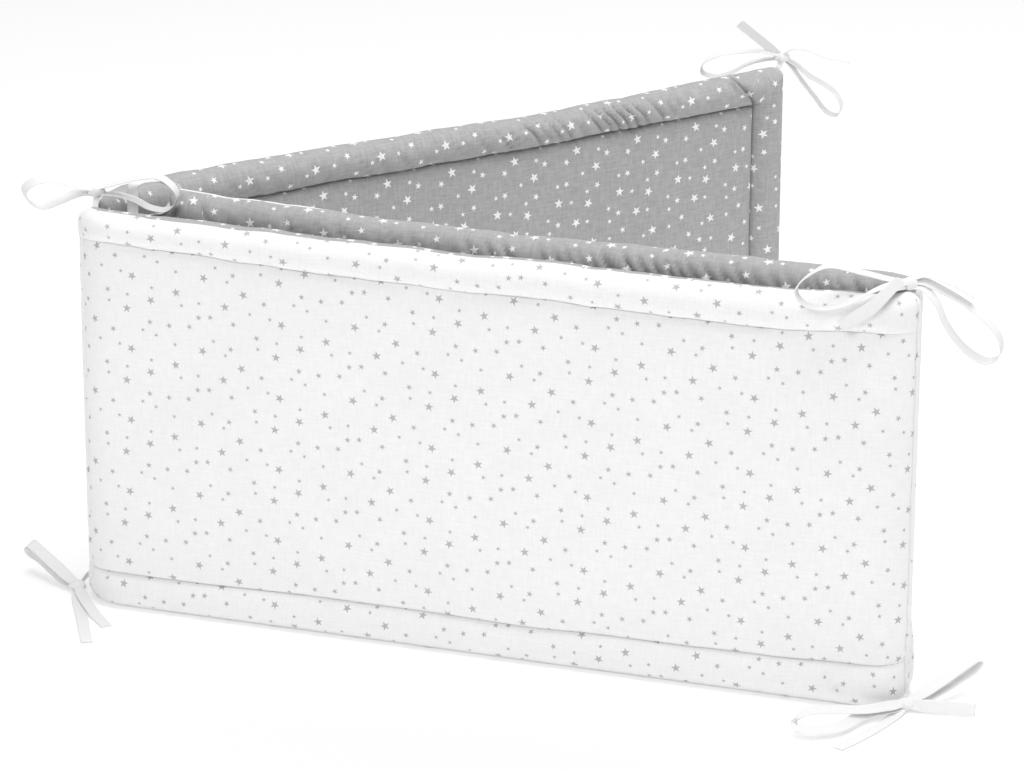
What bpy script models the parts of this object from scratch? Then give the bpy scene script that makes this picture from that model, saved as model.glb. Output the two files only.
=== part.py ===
"""A padded crib bumper: one quilted strip of two cloths, folded in three panels, with tape ties tied in bows.

Metres, +Z up. The front panel runs along X with its outer cloth towards -Y. The origin is on the surface that
the bumper stands on, under the middle of its box.
"""

import math
from collections import namedtuple

import bmesh
import bpy
import numpy as np
from mathutils import Matrix, Vector

# The pad.
PAD_HEIGHT = 0.286
CHANNEL = 0.029  # height of the sewn channels along the edges
CHANNEL_HALF = 0.0135  # half the thickness of a filled channel
FIELD_HALF = 0.0115  # half the thickness of a panel's filled field
# Half the thickness at a stitch line and along the edges, which leaves a flat to stand on.
STITCH_HALF = 0.0035
SEAM_HALF = 0.0022  # half the thickness at a fold's seam
FIELD_RISE = 0.045  # how far from its stitches a field reaches its full thickness
SEAM_RISE = 0.022  # the same, from a fold's seam
FIELD_WAVES = ((0.08, 21, 17, 0.0), (0.06, 47, -29, 1.3))  # share of the thickness, turns along and up, start
SEAM_TOP_DROP = 0.007  # how far the top edge is drawn down at a fold's seam
SEAM_BOTTOM_RISE = 0.009  # how far the bottom edge is drawn up there
FOLD_HALF = 0.0105  # half the thickness that stitches and channels even out to at a fold
FOLD_EVEN_REACH = 0.035  # how far from a fold's seam they even out
CORNER_RADIUS = 0.007  # of the strip's free ends
CREST_RISE = 0.0008  # of the middle of the top edge

# The strip, walked from the rear panel's free end to the inner panel's: stretch, length, and turn to the left
# in degrees.
WALK = (
    ("rear panel", 0.526, 0.0),
    ("rear panel, round the end tucked inside", 0.072, 38.0),
    ("rear panel, up to its seam", 0.030, 5.0),
    ("front panel, off the left seam", 0.037, 85.0),
    ("front panel", 0.529, 0.0),
    ("front panel, up to the right seam", 0.038, 88.0),
    ("inner panel, off the right seam", 0.039, 90.5),
    ("inner panel", 0.515, 0.0),
)
START_HEADING = 232.0  # degrees from +X, at the rear panel's free end
FRONT_LEFT = 4  # the stretch in WALK that starts at the front panel's straight left end
FRONT_LEFT_X = -0.262
SEAMS_AFTER = (2, 5)  # the stretches in WALK that end at a fold's seam

# How uneven the edges are: place along the strip as a share of it, drop of the top edge, height of the top
# channel and of the bottom channel.
EDGES = (
    (0.00, 0.000, 0.029, 0.030),
    (0.08, 0.003, 0.025, 0.030),
    (0.15, 0.0055, 0.022, 0.029),
    (0.23, 0.0037, 0.024, 0.029),
    (0.33, 0.001, 0.028, 0.028),
    (0.38, 0.000, 0.025, 0.027),
    (0.45, 0.002, 0.024, 0.027),
    (0.52, 0.004, 0.026, 0.028),
    (0.60, 0.002, 0.029, 0.030),
    (0.68, 0.000, 0.030, 0.030),
    (0.78, 0.001, 0.028, 0.029),
    (0.90, 0.002, 0.027, 0.029),
    (1.00, 0.001, 0.028, 0.030),
)

# How the mesh is cut up.
CHANNEL_STEPS = 5
FIELD_STEPS = 6
END_STEPS = 5
SEAM_OFFSETS = (0.0025, 0.007, 0.013, 0.020)
PANEL_STEP = 0.0165

# The ties, of cotton tape sewn to the ends of the folds' seams and to the corners of the free ends. A knot is
# placed in metres. The routes of its strands are in millimetres from it, and their width axes are directions:
# to the right, to the back and up, in a frame turned by TIE_TURN about Z. A strand with no width axis lies
# flat.
TAPE_WIDTH = 0.010
ROOT_WIDTH = 0.005  # of the gathered tape where it is sewn in
GATHERED_WIDTH = 0.005  # of the gathered tape in a knot
GATHER_REACH = 0.011  # how far from a knot the tape is at its full width again
TAPE_THICKNESS = 0.0012
TIE_TURN = 19.0
BOW_KNOT = (0.0062, 0.0042, 0.0044)  # half sizes, to the right, to the back and up
PLAIN_KNOT = (0.0025, 0.0025, 0.0025)
STATIONS_PER_LEG = 2

Tie = namedtuple("Tie", "name knot half_sizes strands")
Strand = namedtuple("Strand", "name width_axis route")

TIES = (
    Tie("tie_left_top", (-0.2875, 0.0276, 0.2915), BOW_KNOT, (
        Strand("root", (1, 0, 0), ((0, 0, -2), (-0.5, -3, -6.5), (-1, -5, -10.8))),
        Strand("left_loop", (-0.45, 0.75, 0.48), (
            (-2, 0, 2), (-16, -2, 5), (-29, -3, 9), (-41, -2, 8), (-50, 1, 1),
            (-48, 4, -8), (-38, 5, -12), (-25, 4, -7), (-13, 2, -2), (-2, 0, -1.5),
        )),
        Strand("right_loop", (0.45, 0.75, 0.48), (
            (2, 0, 2), (16, -2, 7), (30, -4, 11), (43, -5, 12), (53, -5, 5),
            (56, -4, -4), (49, -3, -12), (37, -2, -11), (26, -2, -5), (13, -1, -1.5), (2, 0, -1.5),
        )),
    )),
    Tie("tie_right_top", (0.2900, 0.0170, 0.2897), BOW_KNOT, (
        Strand("root", (1, 0, 0), ((0, 0, -1), (2, 3.5, -4.3), (4.5, 6, -6.8))),
        Strand("left_loop", (0.40, 0.72, 0.56), (
            (-2, 0, 2), (-14, -2, 4), (-30, -5, 9), (-52, -12, 15.5), (-67, -18, 10.5), (-74, -20, 2),
            (-69, -21, -6.5), (-56, -21, -10), (-41, -23, -6.5), (-25, -20, 1), (-11, -9, 2.4),
            (-2, -1, 1),
        )),
        Strand("left_tail", (-0.35, 0.10, 0.93), (
            (-2, -2, 0), (-10, -15, 4), (-19, -26, -1), (-27, -28, -8), (-36, -26, -14.5), (-45, -23, -21.5),
        )),
        Strand("right_loop", (0.45, 0.70, 0.55), (
            (2, 0, 1), (11, 3, 0), (24, 6, -7), (43, 6, -19), (57, 6, -32), (62, 6, -43),
            (60, 6, -52), (51, 6, -54), (38, 3, -45), (26, 0, -29), (18, -1, -12), (9, -1, -2.2),
            (2, 0, -1.6),
        )),
        Strand("right_tail", (-0.20, 0.90, 0.40), (
            (2, 1, 2.5), (9, 5, 4), (18, 7, 2), (31, 8, -4), (43, 8, -12),
        )),
    )),
    Tie("tie_rear_top", (0.0588, 0.5373, 0.2930), BOW_KNOT, (
        Strand("root", (1, 0, 0), ((0, 0, -2), (-1.3, -2, -5), (-2.6, -4.0, -7.8))),
        Strand("left_tail", (-0.60, 0.35, -0.55), (
            (-2, 0, 2), (-12, -1, 10), (-23, -2, 19), (-33, -2, 27),
        )),
        Strand("right_tail", (0.10, 1.00, -0.22), (
            (2, 0, 2.5), (9, -2, 6.5), (20, -2, 5.5), (34, -2, 0), (53, -2, -4),
        )),
        Strand("right_loop", (0.50, 0.72, 0.48), (
            (2, 0, -2), (9, 1, -9), (17, 2, -20), (27, 2, -33), (36, 2, -44), (45, 1, -46),
            (47, 0, -37), (42, -1, -28), (33, -1, -21), (22, 0, -15), (11, 1, -6), (2, 0, 0),
        )),
        Strand("left_loop", (0.40, 0.75, 0.52), (
            (-2, 0, 2), (-15, 0, 5), (-36, 0, 4), (-50, 0, 1), (-60, 1, -5), (-61, 3, -13), (-50, 5, -17),
            (-38, 7, -14), (-27, 7, -8), (-14, 3, -3), (-2, 0, -1.5),
        )),
    )),
    Tie("tie_right_bottom", (0.3020, -0.0030, 0.0048), BOW_KNOT, (
        Strand("root", (0, 0, 1), ((2, 2, 0), (7, 9, 0), (10, 17, 0.5), (9.5, 24.5, 2.5), (4.5, 27.7, 5.2))),
        Strand("left_loop", (0.35, 0.72, 0.60), (
            (-2, -1, 1.5), (-14, -11, 3.5), (-30, -20, 5), (-54, -27, 8), (-67, -31, 8), (-74, -36, 4),
            (-73, -42, 1.5), (-63, -45, 0.5), (-47, -40, 0.6), (-34, -25, 0.9), (-23, -14, 0.9),
            (-11, -8, 0.3), (-2, -1, -1),
        )),
        Strand("left_tail", None, (
            (-2, -3, -2), (-11, -16, -3.6), (-24, -34, -3.9), (-37, -50, -3.9), (-49, -63, -3.9),
        )),
        Strand("right_tail", (0, 0.25, 1), ((2, -1, 0.4), (15, -3, 0.4), (30, -6, 0.4), (46, -9, 0.4))),
        Strand("right_loop", (-0.55, 0.70, 0.45), (
            (2, 1, 2), (14, 6, 7), (28, 15, 13), (40, 24, 18), (49, 31, 21), (52, 34, 18),
            (48, 31, 13), (40, 25, 10), (28, 16, 6), (14, 7, 2), (2, 1, -0.5),
        )),
    )),
    Tie("tie_left_bottom", (-0.3025, 0.0075, 0.0048), BOW_KNOT, (
        Strand("root", (0, 0, 1), ((2, 2, 0), (3, 6, 1), (6, 12, 3.5), (10, 12.5, 5), (15.9, 10.4, 5.7))),
        Strand("left_loop", (0.60, 0.65, 0.46), (
            (-2, 1, 2), (-12, 11, 7), (-23, 23, 12), (-32, 33, 16), (-37, 40, 16.5), (-39, 43, 13),
            (-36, 40, 9.5), (-29, 33, 8), (-21, 23, 5), (-12, 12, 1.5), (-2, 1, -0.5),
        )),
        Strand("front_tail", None, (
            (0, -3, -2), (3, -24, -3.9), (8, -50, -3.9), (12, -74, -3.9), (16, -95, -3.9),
        )),
        Strand("side_tail", None, (
            (1, -3, 0), (7, -20, -2), (15, -42, -2.4), (22, -56, -3.6), (27, -66, -3.9),
        )),
    )),
    Tie("tie_inner_top", (-0.2511, 0.0632, 0.2720), PLAIN_KNOT, (
        Strand("upper_tail", (0.3, 0.9, 0.3), (
            (-1, 0, 1), (-8, 0, 9), (-17, 0, 16), (-27, -1, 19), (-36, -2, 19.5),
        )),
        Strand("lower_tail", (0.8, -0.5, 0.3), (
            (0, -2, -1), (-5, -8, -1), (-13, -12, -1), (-20, -14, -6), (-22, -14, -15), (-22, -14, -23),
        )),
    )),
    Tie("tie_rear_bottom", (0.0602, 0.5363, 0.0105), PLAIN_KNOT, (
        Strand("right_tail", None, (
            (1, 1, -1), (7, 5, -7), (15, 9, -9.5), (27, 12, -9.5), (41, 14, -9.5),
        )),
        Strand("back_tail", None, (
            (1, 2, 0), (4, 9, -6), (6, 18, -9.4), (5, 33, -9.5), (2, 48, -9.5),
        )),
    )),
    Tie("tie_inner_bottom", (-0.2510, 0.0632, 0.0105), PLAIN_KNOT, (
        Strand("front_tail", None, (
            (0, -1, -1), (-6, -14, -8.5), (0, -31, -9.6), (19, -39, -9.6), (38, -46, -9.6),
        )),
        Strand("side_tail", None, ((-1, -1, 0), (-10, -11, -6), (-18, -19, -9.3), (-25, -31, -9.6))),
    )),
)


def between(table, place, column):
    """A value of a table of rows, read between its rows on a smooth curve."""
    places = [row[0] for row in table]
    index = max(i for i, at in enumerate(places[:-1]) if at <= max(place, 0.0))
    share = min((place - places[index]) / (places[index + 1] - places[index]), 1.0)
    ease = share * share * (3 - 2 * share)
    return table[index][column] * (1 - ease) + table[index + 1][column] * ease


def round_profile(distance, width):
    """0 at a seam, rising as a quarter ellipse to 1 at width from it."""
    left = 1 - min(max(distance / width, 0.0), 1.0)
    return math.sqrt(1 - left * left)


class Walk:
    """The strip's centre line in plan: its point and heading at each length along it."""

    def __init__(self, step=0.0005):
        heading = math.radians(START_HEADING)
        along, headings, marks = [0.0], [heading], [0.0]
        for _, length, turn in WALK:
            count = round(length / step)
            for i in range(1, count + 1):
                along.append(marks[-1] + length * i / count)
                headings.append(heading + math.radians(turn) * i / count)
            heading += math.radians(turn)
            marks.append(marks[-1] + length)
        self.along = np.array(along)
        self.headings = np.array(headings)
        middle = (self.headings[1:] + self.headings[:-1]) / 2
        runs = np.diff(self.along)
        self.x = np.concatenate([[0], np.cumsum(runs * np.cos(middle))])
        self.y = np.concatenate([[0], np.cumsum(runs * np.sin(middle))])
        self.length = marks[-1]
        self.seams = [marks[i + 1] for i in SEAMS_AFTER]
        start = marks[FRONT_LEFT]
        self.x += FRONT_LEFT_X - np.interp(start, self.along, self.x)
        self.y -= np.interp(start, self.along, self.y)

    def at(self, along):
        """The point, and the unit vector towards the outer cloth, which is to the right of the walk."""
        heading = np.interp(along, self.along, self.headings)
        point = Vector((np.interp(along, self.along, self.x), np.interp(along, self.along, self.y), 0))
        return point, Vector((math.sin(heading), -math.cos(heading), 0))


def heights_at(walk, along):
    """The bottom edge, the two stitch lines and the top edge, at a length along the strip."""
    share = along / walk.length
    top = PAD_HEIGHT - between(EDGES, share, 1)
    low_stitch = between(EDGES, share, 3)
    high_stitch = top - between(EDGES, share, 2)
    seam = min(abs(along - s) for s in walk.seams)
    drawn = 1 - round_profile(seam, SEAM_RISE)
    end = min(along, walk.length - along)
    corner = CORNER_RADIUS * (1 - round_profile(end, CORNER_RADIUS))
    return SEAM_BOTTOM_RISE * drawn + corner, low_stitch, high_stitch, top - SEAM_TOP_DROP * drawn - corner


def half_thickness(walk, along, z, heights):
    """Half the pad's thickness at a point of it."""
    bottom, low_stitch, high_stitch, top = heights
    end = min(along, walk.length - along)
    across = min(
        (z - bottom) / (low_stitch - bottom),
        (top - z) / (top - high_stitch),
        end / CHANNEL,
    )
    if across < 1:
        puff = math.sqrt(max(1 - (2 * across - 1) ** 2, 0.0))
        half = STITCH_HALF + (CHANNEL_HALF - STITCH_HALF) * puff
    else:
        inside = min(z - low_stitch, high_stitch - z, end - CHANNEL)
        uneven = 1 + sum(size * math.sin(along * a + z * b + start) for size, a, b, start in FIELD_WAVES)
        half = STITCH_HALF + (FIELD_HALF * uneven - STITCH_HALF) * round_profile(inside, FIELD_RISE)
    seam = min(abs(along - s) for s in walk.seams)
    half += (FOLD_HALF - half) * max(1 - seam / FOLD_EVEN_REACH, 0.0)
    return SEAM_HALF + (half - SEAM_HALF) * round_profile(seam, SEAM_RISE)


def places_along(walk):
    """The lengths along the strip where it has a section, closer together at its ends and seams."""
    ends = [CHANNEL * (1 - math.cos(math.pi * i / END_STEPS)) / 2 for i in range(END_STEPS + 1)]
    fine = ends + [walk.length - e for e in ends]
    for seam in walk.seams:
        fine += [seam] + [seam + side * offset for side in (-1, 1) for offset in SEAM_OFFSETS]
    fine.sort()
    places = [fine[0]]
    for at in fine[1:]:
        gap = at - places[-1]
        count = max(1, round(gap / PANEL_STEP))
        places += [places[-1] + gap * i / count for i in range(1, count)] + [at]
    return places


def rows_up(heights):
    """The heights of a section's points, from the bottom edge to the top edge."""
    bottom, low_stitch, high_stitch, top = heights
    rise = [(1 - math.cos(math.pi * i / CHANNEL_STEPS)) / 2 for i in range(CHANNEL_STEPS + 1)]
    rows = [bottom + (low_stitch - bottom) * r for r in rise]
    field = [(1 - math.cos(math.pi * i / FIELD_STEPS)) / 2 for i in range(1, FIELD_STEPS)]
    rows += [low_stitch + (high_stitch - low_stitch) * f for f in field]
    return rows + [high_stitch + (top - high_stitch) * r for r in rise]


def pad_mesh(walk):
    """The pad: its sections joined along the strip, with a cap on each free end."""
    mesh = bmesh.new()
    rings = []
    for along in places_along(walk):
        point, outward = walk.at(along)
        heights = heights_at(walk, along)
        rows = rows_up(heights)
        halves = [half_thickness(walk, along, z, heights) for z in rows]
        ring = [point + outward * h + Vector((0, 0, z)) for z, h in zip(rows, halves)]
        ring.append(point + Vector((0, 0, heights[3] + CREST_RISE)))
        ring += [point - outward * h + Vector((0, 0, z)) for z, h in reversed(list(zip(rows, halves)))]
        rings.append([mesh.verts.new(v) for v in ring])
    count = len(rings[0])
    for one, other in zip(rings, rings[1:]):
        for i in range(count):
            j = (i + 1) % count
            mesh.faces.new((one[i], other[i], other[j], one[j]))
    mesh.faces.new(reversed(rings[0]))
    mesh.faces.new(rings[-1])
    bmesh.ops.recalc_face_normals(mesh, faces=mesh.faces)
    return mesh


def material(name, colour, roughness):
    made = bpy.data.materials.new(name)
    made.use_nodes = True
    shader = made.node_tree.nodes["Principled BSDF"]
    shader.inputs["Base Color"].default_value = (*colour, 1)
    shader.inputs["Roughness"].default_value = roughness
    shader.inputs["Metallic"].default_value = 0
    return made


def placed(name, mesh, finish):
    data = bpy.data.meshes.new(name)
    mesh.to_mesh(data)
    mesh.free()
    data.materials.append(finish)
    made = bpy.data.objects.new(name, data)
    bpy.context.scene.collection.objects.link(made)
    return made


def smooth_route(points, stations_per_leg):
    """Points along a smooth curve through the given ones."""
    ends = [points[0] * 2 - points[1], *points, points[-1] * 2 - points[-2]]
    route = []
    for before, start, end, after in zip(ends, ends[1:], ends[2:], ends[3:]):
        for i in range(stations_per_leg):
            t = i / stations_per_leg
            route.append(
                0.5
                * (
                    2 * start
                    + (end - before) * t
                    + (2 * before - 5 * start + 4 * end - after) * t**2
                    + (3 * start - before - 3 * end + after) * t**3
                )
            )
    return route + [points[-1]]


def tie_frame(knot):
    """Turns millimetres to the right, to the back and up from a knot into a place in metres."""
    turn = math.radians(TIE_TURN)
    right = Vector((math.cos(turn), math.sin(turn), 0))
    back = Vector((-math.sin(turn), math.cos(turn), 0))
    axes = Matrix((right, back, (0, 0, 1))).transposed()
    return Matrix.Translation(knot) @ axes.to_4x4()


def tape_mesh(strand, frame):
    """A strand of tape: a flat section carried along its route."""
    points = [frame @ (Vector(p) / 1000) for p in strand.route]
    route = smooth_route(points, STATIONS_PER_LEG)
    knot = frame.to_translation()
    half_thick = TAPE_THICKNESS / 2
    mesh = bmesh.new()
    rings = []
    for i, point in enumerate(route):
        tangent = (route[min(i + 1, len(route) - 1)] - route[max(i - 1, 0)]).normalized()
        if strand.width_axis is None:
            axis = tangent.cross(Vector((0, 0, 1)))
        else:
            axis = frame.to_3x3() @ Vector(strand.width_axis)
        width = ROOT_WIDTH
        if strand.name != "root":
            spread = min((point - knot).length / GATHER_REACH, 1.0)
            width = GATHERED_WIDTH + (TAPE_WIDTH - GATHERED_WIDTH) * spread
        across = (axis - tangent * axis.dot(tangent)).normalized() * width / 2
        through = tangent.cross(across).normalized() * half_thick
        corners = (across + through, through - across, -across - through, across - through)
        rings.append([mesh.verts.new(point + corner) for corner in corners])
    for one, other in zip(rings, rings[1:]):
        for i in range(4):
            j = (i + 1) % 4
            mesh.faces.new((one[i], other[i], other[j], one[j]))
    mesh.faces.new(reversed(rings[0]))
    mesh.faces.new(rings[-1])
    bmesh.ops.recalc_face_normals(mesh, faces=mesh.faces)
    return mesh


def knot_mesh(half_sizes, frame):
    mesh = bmesh.new()
    bmesh.ops.create_icosphere(mesh, subdivisions=2, radius=1)
    bmesh.ops.scale(mesh, vec=half_sizes, verts=mesh.verts)
    bmesh.ops.transform(mesh, matrix=frame, verts=mesh.verts)
    return mesh


def tied(tie, finish):
    """A tie in one body: its strands joined to its knot."""
    frame = tie_frame(tie.knot)
    made = placed(tie.name, knot_mesh(tie.half_sizes, frame), finish)
    for strand in tie.strands:
        part = placed(f"{tie.name}_{strand.name}", tape_mesh(strand, frame), finish)
        part.hide_render = True
        part.display_type = "WIRE"
        union = made.modifiers.new(strand.name, "BOOLEAN")
        union.operation = "UNION"
        union.solver = "MANIFOLD"
        union.object = part
    return made


def stood_at_origin(pieces):
    """Moves everything so that the origin is on the floor under the middle of the whole box."""
    bpy.context.view_layer.update()
    graph = bpy.context.evaluated_depsgraph_get()
    corners = []
    for piece in pieces:
        mesh = piece.evaluated_get(graph).to_mesh()
        corners += [piece.matrix_world @ v.co for v in mesh.vertices]
    shift = Vector([-(min(c[i] for c in corners) + max(c[i] for c in corners)) / 2 for i in (0, 1)] + [0])
    for thing in bpy.data.objects:
        thing.location += shift


def main():
    for old in list(bpy.data.objects):
        bpy.data.objects.remove(old, do_unlink=True)
    walk = Walk()
    cotton = material("printed cotton", (0.86, 0.86, 0.86), 0.9)
    tape = material("white cotton tape", (0.90, 0.90, 0.90), 0.85)
    pieces = [placed("pad", pad_mesh(walk), cotton)]
    pieces += [tied(tie, tape) for tie in TIES]
    stood_at_origin(pieces)


main()
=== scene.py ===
"""The looks of a padded crib bumper, folded in three panels and standing on its edge.

The outer cloth is white with grey stars and the inner cloth grey with white stars. Metres, +Z up. The bumper
and the camera are worked out in the fold's own frame, where the front panel's centre line is y = 0, and are
then shifted in plan to the CAD model's frame.
"""

from math import cos, hypot, pi, radians, sin

import bpy
import numpy as np
from mathutils import Matrix, Vector


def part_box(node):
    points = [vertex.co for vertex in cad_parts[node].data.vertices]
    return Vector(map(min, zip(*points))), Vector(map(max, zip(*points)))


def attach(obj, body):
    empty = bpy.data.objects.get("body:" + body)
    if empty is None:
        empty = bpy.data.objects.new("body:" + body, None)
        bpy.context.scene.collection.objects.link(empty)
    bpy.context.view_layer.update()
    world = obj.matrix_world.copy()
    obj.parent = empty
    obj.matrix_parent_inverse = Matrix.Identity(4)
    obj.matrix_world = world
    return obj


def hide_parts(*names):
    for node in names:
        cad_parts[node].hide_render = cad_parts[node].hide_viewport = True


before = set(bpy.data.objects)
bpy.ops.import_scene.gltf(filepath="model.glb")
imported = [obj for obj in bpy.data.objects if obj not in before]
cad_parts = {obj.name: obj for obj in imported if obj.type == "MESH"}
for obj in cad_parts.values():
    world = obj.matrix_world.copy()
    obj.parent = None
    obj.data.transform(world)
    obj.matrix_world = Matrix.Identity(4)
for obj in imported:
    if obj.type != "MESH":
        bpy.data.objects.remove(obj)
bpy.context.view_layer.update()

# Sizes of the pad. A half thickness is measured from the pad's centre line to a cloth.
PAD_HEIGHT = 0.286
CHANNEL = 0.029  # width of the sewn channels
CHANNEL_HALF = 0.0138  # half thickness of a filled channel
FIELD_HALF = 0.0115  # of a panel's filled field
STITCH_HALF = {"outer": 0.0052, "inner": 0.0018}  # at a stitch line, on each cloth's side
FOLD_HALF = 0.0105  # beside a fold's seam
SEAM_HALF = 0.0020  # at a fold's seam
END_HALF = 0.0006  # at the free ends' edges

FIELD_RISE = 0.045  # from its stitches to a field's full thickness
FIELD_LIP = 0.0045  # from them to FIELD_LIP_SHARE of it
FIELD_LIP_SHARE = 0.42
# Swells of a field: share of its thickness, radians a metre along the strip and up it, and phase.
FIELD_SWELLS = ((0.08, 21, 17, 0.0), (0.06, 47, -29, 1.3))

SEAM_RISE = 0.022  # from a fold's seam to the pad's full thickness
FRONT_SEAM_RISE = 0.013  # the same, on the front panel's side of the seam
SEAM_TOP_DROP = 0.007  # how far a fold's seam draws the top edge down
SEAM_BOTTOM_RISE = 0.009  # how far it draws the bottom edge up
FOLD_EVEN_REACH = 0.035  # up to this far from the seam, channels and field are nearly one thickness
FOLD_EVEN_SHARE = 0.95
FOLD_EDGE_ROUND = 0.009  # height of its round at the top and bottom edges
FOLD_RELIEF_FADE = 0.010  # the folds' wrinkles fade out so near those edges
SEAM_CAP = 0.002  # the seam closes to nothing so near them
CORNER_RADIUS = 0.007
ROLL_SAG = 0.0013  # how far the top channel sags over its stitches
FOOT_SINK = 0.0005  # how much of the round lower edge is pressed flat

# The strip's centre line in plan, from the rear panel's free end: stretch, length and turn to the left in
# degrees.
WALK = (
    ("rear panel", 0.526, 0.0),
    ("rear panel, round the end tucked inside", 0.072, 38.0),
    ("rear panel, up to its seam", 0.030, 5.0),
    ("front panel, off the left seam", 0.037, 85.0),
    ("front panel", 0.529, 0.0),
    ("front panel, up to the right seam", 0.038, 88.0),
    ("inner panel, off the right seam", 0.039, 90.5),
    ("inner panel", 0.515, 0.0),
)
WALK_STEP = 0.0005
START_HEADING = 232.0  # degrees to the left of +X
SEAMS_AFTER = (2, 5)  # the stretches that end at a fold's seam
FRONT_LEFT, FRONT_LEFT_X = 4, -0.262  # the front panel's straight stretch, and where it starts

# Place along the strip as a share of it, drop of the top edge, heights of the top and the bottom channel.
EDGES = (
    (0.0, -0.0012, 0.0255, 0.03), (0.02, 0.0, 0.0245, 0.03), (0.05, 0.0012, 0.024, 0.03),
    (0.085, 0.0038, 0.0225, 0.029), (0.135, 0.0052, 0.0225, 0.029), (0.17, 0.0038, 0.024, 0.029),
    (0.22, 0.0036, 0.0243, 0.0285), (0.255, 0.0032, 0.0255, 0.028), (0.3, 0.0039, 0.0255, 0.027),
    (0.352, 0.001, 0.0205, 0.026), (0.37, -0.0018, 0.0198, 0.026), (0.405, -0.0012, 0.0216, 0.0258),
    (0.435, 0.0, 0.0228, 0.0267), (0.455, 0.0014, 0.0228, 0.0273), (0.48, 0.001, 0.0234, 0.0273),
    (0.515, 0.002, 0.0235, 0.027), (0.54, 0.0009, 0.0242, 0.0265), (0.57, 0.0017, 0.0244, 0.0278),
    (0.6, 0.0029, 0.0246, 0.0277), (0.635, 0.0023, 0.025, 0.0287), (0.668, -0.0002, 0.0245, 0.0308),
    (0.69, -0.0004, 0.026, 0.0302), (0.76, 0.0003, 0.028, 0.029), (0.81, 0.0012, 0.028, 0.029),
    (0.855, 0.0031, 0.027, 0.029), (0.92, 0.0027, 0.027, 0.029), (0.938, 0.0007, 0.0275, 0.0295),
    (0.975, -0.0004, 0.028, 0.03), (1.0, -0.0025, 0.0285, 0.03),
)

# Small waves of the top edge and of the two stitch lines: height, length and seed.
TOP_WAVES = ((0.0005, 0.021, 3), (0.0003, 0.009, 4))
LOW_STITCH_WAVES = ((0.0004, 0.050, 5),)
HIGH_STITCH_WAVES = ((0.0004, 0.040, 6),)

# Where the two cloths meet along the top edge: place along the strip as a share of it, and how far down the
# outer side they meet, as a share of the way from the crest to the stitches (below zero, down the inner
# side).
TOP_SEAM = (
    (0.0, 0.12), (0.31, 0.12), (0.352, 0.04), (0.375, 0.05), (0.395, 0.11), (0.42, 0.118), (0.45, 0.09),
    (0.495, 0.067), (0.573, 0.052), (0.627, 0.015), (0.69, 0.015), (0.705, 0.12), (0.925, 0.12),
    (0.945, 0.0), (1.0, 0.0),
)

# How full the pad is next to a fold's seam, on the side away from the front panel: distance from the seam,
# share.
HINGE = ((0.000, 0.50), (0.014, 0.50), (0.028, 0.72), (0.050, 1.00))

# How much fuller than that it is at the foot of the right fold: height, share.
FULLER = ((0.000, 0.45), (0.030, 0.45), (0.055, 0.00))
FULLER_REACH = 0.05

# Second lines of stitches beside the folds' seams: the seam's number and how far along the strip from it.
FOLD_LINES = ((0, 0.0165), (1, -0.0095))
FOLD_LINE_DEPTH = 0.0016
FOLD_LINE_HALF = 0.0010

# The puckers off the channels' stitches: place along the strip as a share of it, depth on the outer cloth,
# depths on the inner cloth off the top channel's stitches and off the bottom one's, and their pitch.
PUCKERS = (
    (0.0, 0.0005, 0.0006, 0.0005, 0.012), (0.045, 0.0005, 0.0016, 0.0005, 0.012),
    (0.065, 0.0005, 0.005, 0.0005, 0.01), (0.13, 0.0005, 0.0048, 0.0005, 0.01),
    (0.165, 0.0005, 0.0022, 0.0005, 0.014), (0.23, 0.0005, 0.003, 0.0005, 0.02),
    (0.34, 0.0005, 0.0014, 0.0005, 0.014), (0.36, 0.0004, 0.0006, 0.0005, 0.012),
    (0.5, 0.0004, 0.0006, 0.0005, 0.014), (0.64, 0.0005, 0.0006, 0.0005, 0.012),
    (0.668, 0.0014, 0.002, 0.0008, 0.009), (0.695, 0.001, 0.0055, 0.0008, 0.01),
    (0.81, 0.0006, 0.0055, 0.0008, 0.01), (0.85, 0.0006, 0.0052, 0.0006, 0.014),
    (0.92, 0.0006, 0.0048, 0.0006, 0.017), (1.0, 0.0006, 0.0016, 0.0006, 0.02),
)
PUCKER_LEAN = {"outer": 0.75, "inner": -0.9}  # how far along the strip a pucker runs for its height
CHANNEL_PUCKER, FIELD_PUCKER = 0.0245, 0.008  # how far it runs into each
FIELD_PUCKER_SHARE = 0.5  # share of its depth that it has in the field
PUCKER_START = 0.0012  # how far off the stitches it begins
PUCKER_CAP = 0.002  # height of the stretch by the top edge where it ends
PUCKER_WAVER, WAVER_LENGTH = 0.0015, 0.011  # how far it wavers, over what height
BUNCH_LENGTH = 0.045  # over which puckers deepen and fade
FINE_PITCH, FINE_SHARE = 0.0032, 0.1  # of the finer puckers between them
FOLD_PITCH_NOISE, FOLD_DEPTH_NOISE = 0.021, 0.013  # lengths of the unevenness of their pitch and depth

# The crease across the rear panel's top corner: its distances from the free end at the edge and at the
# stitches, its depth and half width, and how far beside it a lip is raised, with the lip's half width.
CREASE_TOP, CREASE_FOOT = 0.050, 0.029
CREASE_DEPTH, CREASE_HALF = 0.0036, 0.0014
LIP_AWAY, LIP_HALF = 0.0035, 0.0022

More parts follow.
